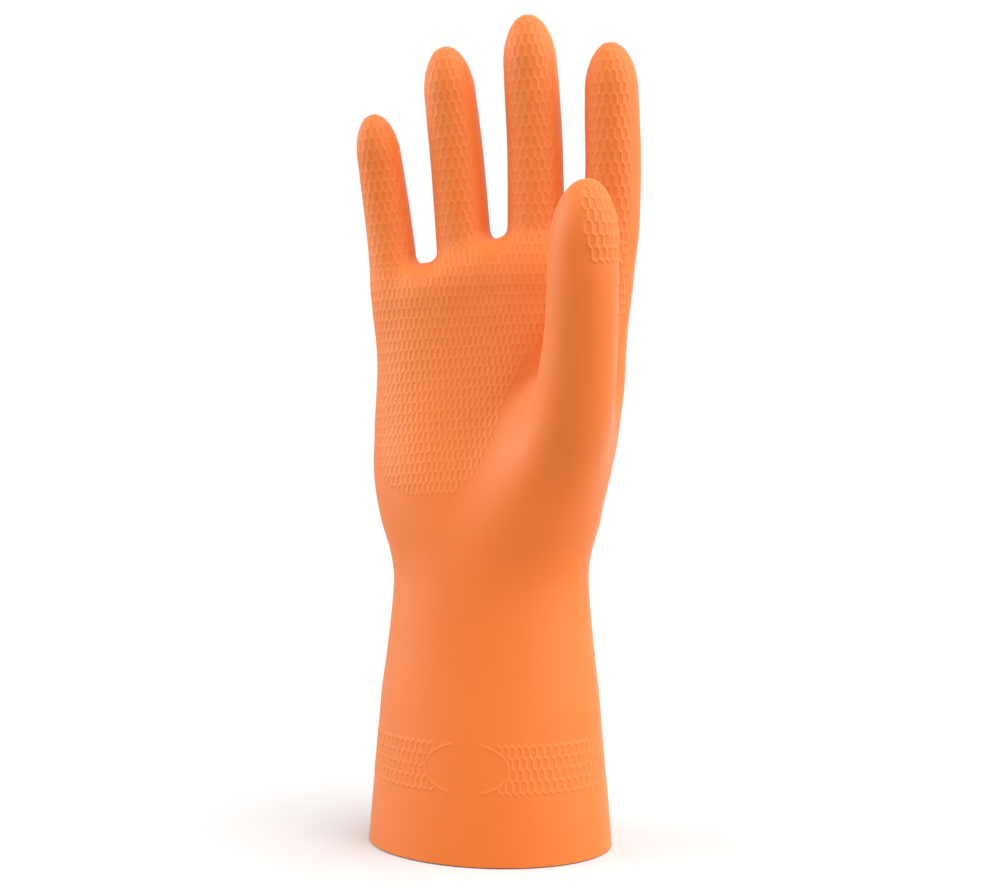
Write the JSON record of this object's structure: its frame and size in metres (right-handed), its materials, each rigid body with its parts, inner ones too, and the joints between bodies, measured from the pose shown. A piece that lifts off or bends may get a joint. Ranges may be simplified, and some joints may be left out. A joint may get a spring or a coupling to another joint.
{
  "type": "rubber glove",
  "caption": "Right-hand household rubber glove with a long flared cuff, raised honeycomb grip pattern on palm and fingers, and soft bending bands.",
  "frame": {"origin": "centre of the bounding box of the standing glove, on the floor plane of the cuff rim", "axes": "+Z from the cuff rim to the fingertips, -Y is the way the palm faces, +X towards the thumb side"},
  "size_m": [0.106, 0.0896, 0.3002],
  "materials": {
    "rubber": "satin orange dipped film",
    "soft_rubber": "satin orange dipped film, the bending bands"
  },
  "bodies": {
    "cuff": {"cuff": "rubber", "wrist_band": "soft_rubber"},
    "palm": {"palm": "rubber", "little_root_band": "soft_rubber", "ring_root_band": "soft_rubber", "middle_root_band": "soft_rubber", "index_root_band": "soft_rubber", "thumb_root_band": "soft_rubber"},
    "little_near": {"little_near": "rubber", "little_middle_band": "soft_rubber"},
    "little_mid": {"little_mid": "rubber", "little_tip_band": "soft_rubber"},
    "little_far": {"little_far": "rubber"},
    "ring_near": {"ring_near": "rubber", "ring_middle_band": "soft_rubber"},
    "ring_mid": {"ring_mid": "rubber", "ring_tip_band": "soft_rubber"},
    "ring_far": {"ring_far": "rubber"},
    "middle_near": {"middle_near": "rubber", "middle_middle_band": "soft_rubber"},
    "middle_mid": {"middle_mid": "rubber", "middle_tip_band": "soft_rubber"},
    "middle_far": {"middle_far": "rubber"},
    "index_near": {"index_near": "rubber", "index_middle_band": "soft_rubber"},
    "index_mid": {"index_mid": "rubber", "index_tip_band": "soft_rubber"},
    "index_far": {"index_far": "rubber"},
    "thumb_near": {"thumb_near": "rubber", "thumb_tip_band": "soft_rubber"},
    "thumb_far": {"thumb_far": "rubber"}
  },
  "joints": [
    {"name": "wrist_bend", "type": "hinge", "parent": "cuff", "child": "palm", "pos_m": [-0.00404, 0.00962, 0.096], "axis": [1, 0, 0], "range_deg": [-35, 35], "stiffness_Nm_per_rad": 0.6, "deforming": ["wrist_band"]},
    {"name": "little_root_bend", "type": "hinge", "parent": "palm", "child": "little_near", "pos_m": [-0.04225, 0.00772, 0.21987], "axis": [0.9972, -0.0055, 0.0741], "range_deg": [-10, 55], "stiffness_Nm_per_rad": 0.04, "deforming": ["little_root_band"]},
    {"name": "little_middle_bend", "type": "hinge", "parent": "little_near", "child": "little_mid", "pos_m": [-0.04359, 0.00534, 0.23618], "axis": [0.9967, -0.0156, 0.0795], "range_deg": [-5, 70], "stiffness_Nm_per_rad": 0.03, "deforming": ["little_middle_band"]},
    {"name": "little_tip_bend", "type": "hinge", "parent": "little_mid", "child": "little_far", "pos_m": [-0.0448, 0.00148, 0.25206], "axis": [0.9979, -0.0181, 0.0628], "range_deg": [-5, 50], "stiffness_Nm_per_rad": 0.02, "deforming": ["little_tip_band"]},
    {"name": "ring_root_bend", "type": "hinge", "parent": "palm", "child": "ring_near", "pos_m": [-0.01421, 0.00679, 0.22727], "axis": [0.9989, -0.0053, 0.0465], "range_deg": [-10, 55], "stiffness_Nm_per_rad": 0.04, "deforming": ["ring_root_band"]},
    {"name": "ring_middle_bend", "type": "hinge", "parent": "ring_near", "child": "ring_mid", "pos_m": [-0.01519, 0.00389, 0.24871], "axis": [0.9988, -0.0076, 0.0487], "range_deg": [-5, 70], "stiffness_Nm_per_rad": 0.03, "deforming": ["ring_middle_band"]},
    {"name": "ring_tip_bend", "type": "hinge", "parent": "ring_mid", "child": "ring_far", "pos_m": [-0.01643, -0.00003, 0.27015], "axis": [0.9985, -0.0103, 0.0529], "range_deg": [-5, 50], "stiffness_Nm_per_rad": 0.02, "deforming": ["ring_tip_band"]},
    {"name": "middle_root_bend", "type": "hinge", "parent": "palm", "child": "middle_near", "pos_m": [0.01378, 0.00681, 0.22978], "axis": [0.9998, 0.0023, -0.0214], "range_deg": [-10, 55], "stiffness_Nm_per_rad": 0.04, "deforming": ["middle_root_band"]},
    {"name": "middle_middle_bend", "type": "hinge", "parent": "middle_near", "child": "middle_mid", "pos_m": [0.01416, 0.00377, 0.25321], "axis": [1, 0.0002, -0.0013], "range_deg": [-5, 70], "stiffness_Nm_per_rad": 0.03, "deforming": ["middle_middle_band"]},
    {"name": "middle_tip_bend", "type": "hinge", "parent": "middle_mid", "child": "middle_far", "pos_m": [0.01368, -0.00042, 0.27718], "axis": [0.9998, -0.0038, 0.0216], "range_deg": [-5, 50], "stiffness_Nm_per_rad": 0.02, "deforming": ["middle_tip_band"]},
    {"name": "index_root_bend", "type": "hinge", "parent": "palm", "child": "index_near", "pos_m": [0.04197, 0.00653, 0.22723], "axis": [0.9965, 0.0114, -0.0829], "range_deg": [-10, 55], "stiffness_Nm_per_rad": 0.04, "deforming": ["index_root_band"]},
    {"name": "index_middle_bend", "type": "hinge", "parent": "index_near", "child": "index_mid", "pos_m": [0.04337, 0.00336, 0.2482], "axis": [0.9993, 0.0057, -0.0363], "range_deg": [-5, 70], "stiffness_Nm_per_rad": 0.03, "deforming": ["index_middle_band"]},
    {"name": "index_tip_bend", "type": "hinge", "parent": "index_mid", "child": "index_far", "pos_m": [0.04356, -0.00017, 0.26917], "axis": [1, -0.0004, 0.0024], "range_deg": [-5, 50], "stiffness_Nm_per_rad": 0.02, "deforming": ["index_tip_band"]},
    {"name": "thumb_root_swing", "type": "hinge", "parent": "palm", "child": "thumb_near", "pos_m": [0.03739, -0.0255, 0.184], "axis": [0, 0.9374, 0.3484], "range_deg": [-15, 50], "stiffness_Nm_per_rad": 0.06, "deforming": ["thumb_root_band"]},
    {"name": "thumb_tip_bend", "type": "hinge", "parent": "thumb_near", "child": "thumb_far", "pos_m": [0.03953, -0.03265, 0.209], "axis": [0, -0.9854, -0.1702], "range_deg": [-5, 35], "stiffness_Nm_per_rad": 0.04, "deforming": ["thumb_tip_band"]}
  ]
}
